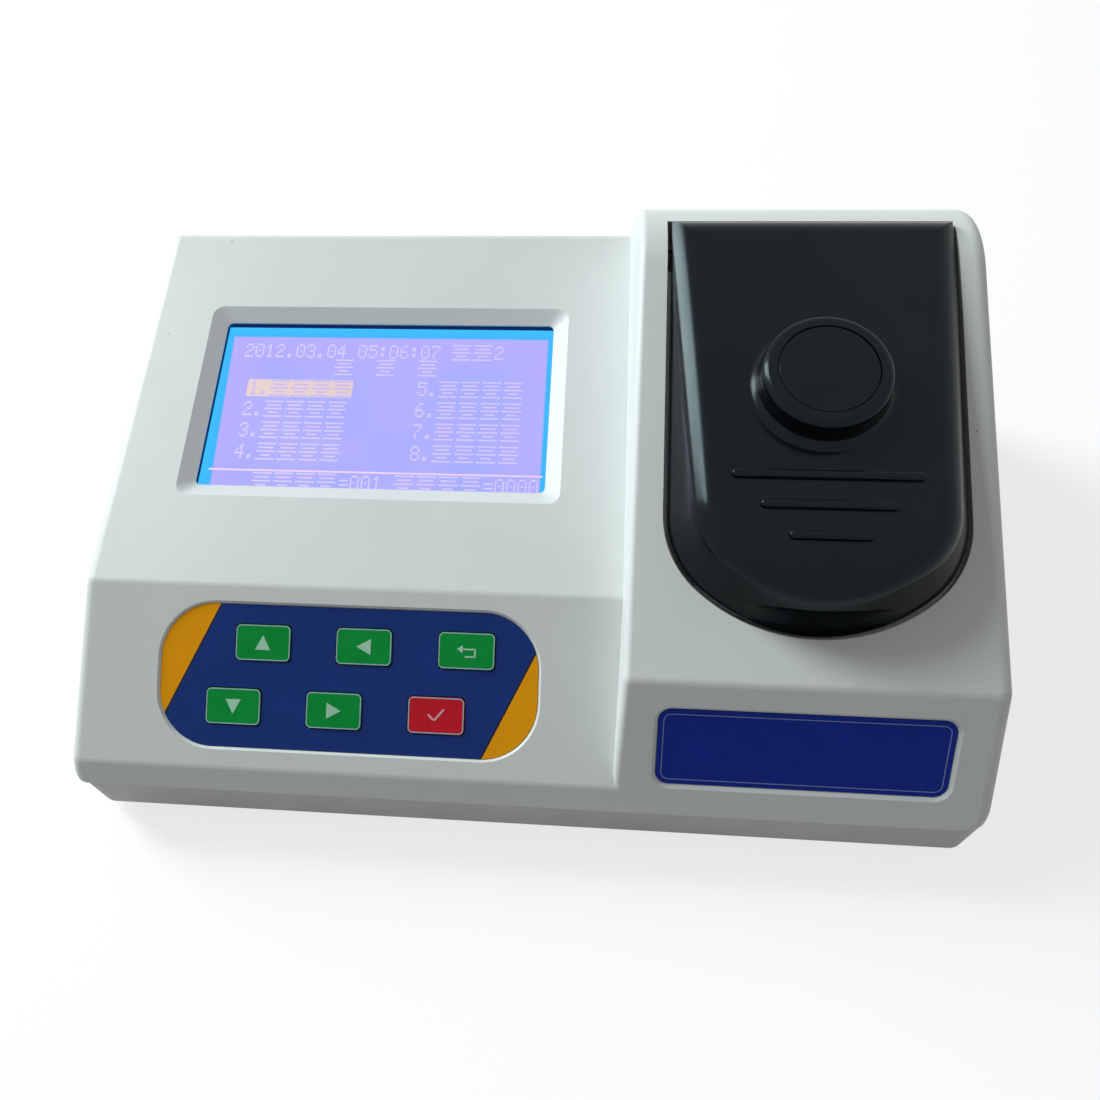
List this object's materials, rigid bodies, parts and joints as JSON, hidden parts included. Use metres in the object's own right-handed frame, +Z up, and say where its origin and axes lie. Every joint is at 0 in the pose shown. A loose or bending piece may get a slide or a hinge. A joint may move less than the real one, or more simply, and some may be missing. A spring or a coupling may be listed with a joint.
{
  "type": "chlorine analyzer",
  "caption": "Bench photometer: sloped console with display and keypad beside a tower whose black hinged lid covers a cuvette well.",
  "frame": {"origin": "on the table under the middle of the housing", "axes": "+Z up, +X to the user's right, +Y to the back"},
  "size_m": [0.2764, 0.1922, 0.1121],
  "materials": {
    "housing_plastic": "fine texture",
    "base_plastic": "fine texture",
    "lid_plastic": "polished",
    "holder_plastic": "matte",
    "foot_rubber": "matte",
    "screw_steel": "plain",
    "display_glass": "polished",
    "display_metal": "satin",
    "light_guide": "clear",
    "circuit_board": "solder mask",
    "keypad_print": "printed sheet",
    "key_green": "satin",
    "key_red": "satin",
    "dome_metal": "satin",
    "nameplate_print": "printed sheet",
    "optic_glass": "polished",
    "filter_glass": "polished",
    "panel_metal": "satin",
    "switch_plastic": "satin",
    "plated_metal": "plated",
    "chip_plastic": "matte",
    "cooler_aluminium": "anodised",
    "connector_plastic": "matte",
    "ribbon_plastic": "satin",
    "cable_plastic": "satin"
  },
  "bodies": {
    "root": {"top_housing": "housing_plastic", "bottom_housing": "base_plastic", "rubber_feet": "foot_rubber", "housing_screws": "screw_steel", "display_frame": "display_metal", "display_glass": "display_glass", "display_light_guide": "light_guide", "display_board": "circuit_board", "display_screws": "screw_steel", "keypad_screws": "screw_steel", "keypad_sheet": "keypad_print", "key_domes": "dome_metal", "keypad_board": "circuit_board", "nameplate": "nameplate_print", "hinge_pins": "screw_steel", "lid_seal": "foot_rubber", "cuvette_holder": "holder_plastic", "holder_screws": "screw_steel", "collimating_lens": "optic_glass", "optical_filter": "filter_glass", "light_source": "optic_glass", "light_sensor": "holder_plastic", "light_board": "circuit_board", "sensor_board": "circuit_board", "optic_board_screws": "screw_steel", "rear_panel": "panel_metal", "panel_screws": "screw_steel", "power_switch_frame": "housing_plastic", "dc_power_jack": "switch_plastic", "dc_jack_nut": "plated_metal", "data_port_shell": "plated_metal", "data_port_insert": "holder_plastic", "port_jackscrews": "screw_steel", "main_circuit_board": "circuit_board", "main_board_screws": "screw_steel", "processor": "chip_plastic", "memory_chips": "chip_plastic", "capacitors": "plated_metal", "voltage_regulator": "cooler_aluminium", "buzzer": "chip_plastic", "coin_cell_holder": "connector_plastic", "coin_cell": "plated_metal", "ribbon_connectors": "connector_plastic", "display_ribbon": "ribbon_plastic", "keypad_ribbon": "ribbon_plastic", "board_connectors": "connector_plastic", "light_cable": "cable_plastic", "sensor_cable": "cable_plastic", "panel_cables": "cable_plastic"},
    "lid": {"lid_shell": "lid_plastic", "knob_cap": "lid_plastic"},
    "power_rocker": {"power_switch_rocker": "switch_plastic"},
    "key_up": {"key_up": "key_green"},
    "key_left": {"key_left": "key_green"},
    "key_return": {"key_return": "key_green"},
    "key_down": {"key_down": "key_green"},
    "key_right": {"key_right": "key_green"},
    "key_confirm": {"key_confirm": "key_red"}
  },
  "joints": [
    {"name": "lid_hinge", "type": "hinge", "parent": "root", "child": "lid", "pos_m": [0.0849, 0.05931, 0.1027], "axis": [-1, 0, 0], "range_deg": [0, 90]},
    {"name": "power_rocker_tilt", "type": "hinge", "parent": "root", "child": "power_rocker", "pos_m": [-0.094, 0.08956, 0.05174], "axis": [-1, 0, 0], "range_deg": [0, 16]},
    {"name": "key_up_press", "type": "slide", "parent": "root", "child": "key_up", "axis": [0, 0.515, -0.8572], "range_m": [0, 0.0005], "stiffness_N_per_m": 1500},
    {"name": "key_left_press", "type": "slide", "parent": "root", "child": "key_left", "axis": [0, 0.515, -0.8572], "range_m": [0, 0.0005], "stiffness_N_per_m": 1500},
    {"name": "key_return_press", "type": "slide", "parent": "root", "child": "key_return", "axis": [0, 0.515, -0.8572], "range_m": [0, 0.0005], "stiffness_N_per_m": 1500},
    {"name": "key_down_press", "type": "slide", "parent": "root", "child": "key_down", "axis": [0, 0.515, -0.8572], "range_m": [0, 0.0005], "stiffness_N_per_m": 1500},
    {"name": "key_right_press", "type": "slide", "parent": "root", "child": "key_right", "axis": [0, 0.515, -0.8572], "range_m": [0, 0.0005], "stiffness_N_per_m": 1500},
    {"name": "key_confirm_press", "type": "slide", "parent": "root", "child": "key_confirm", "axis": [0, 0.515, -0.8572], "range_m": [0, 0.0005], "stiffness_N_per_m": 1500}
  ]
}
